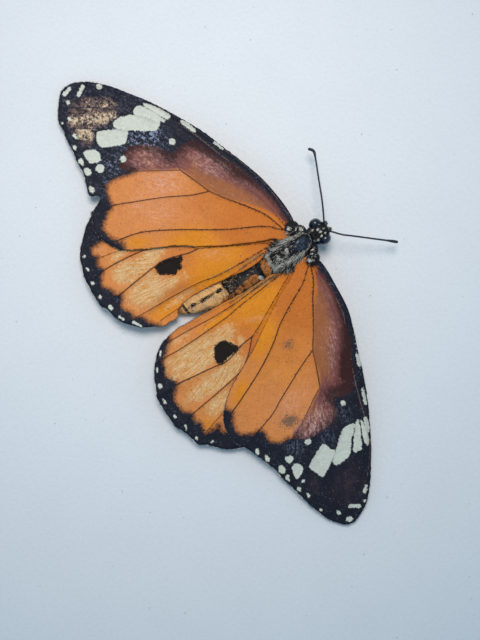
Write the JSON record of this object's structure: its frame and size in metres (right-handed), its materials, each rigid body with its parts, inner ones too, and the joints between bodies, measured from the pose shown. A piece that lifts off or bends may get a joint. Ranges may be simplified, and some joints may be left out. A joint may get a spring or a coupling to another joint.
{
  "type": "butterfly specimen",
  "caption": "Dry spread butterfly lying back side up, with orange wings, black white-spotted wing tips and margins, bent antennae and folded legs.",
  "frame": {"origin": "middle of the small flat on the underside of the thorax, on which the insect rests", "axes": "+X is the insect's right, +Y its head, +Z its back"},
  "size_m": [0.0778, 0.0428, 0.0067],
  "materials": {
    "body": "matte",
    "abdomen": "matte",
    "eye": "gloss",
    "antenna": "satin",
    "leg": "satin",
    "forewing": "matte",
    "hindwing": "matte"
  },
  "bodies": {
    "root": {"head": "body", "thorax": "body", "left_tegula": "body", "right_tegula": "body", "left_palp": "body", "right_palp": "body", "abdomen": "abdomen", "left_eye": "eye", "right_eye": "eye", "left_antenna": "antenna", "right_antenna": "antenna", "proboscis": "antenna", "left_foreleg": "leg", "right_foreleg": "leg", "left_midleg": "leg", "right_midleg": "leg", "left_hindleg": "leg", "right_hindleg": "leg", "left_forewing": "forewing", "right_forewing": "forewing", "left_hindwing": "hindwing", "right_hindwing": "hindwing"}
  },
  "joints": []
}
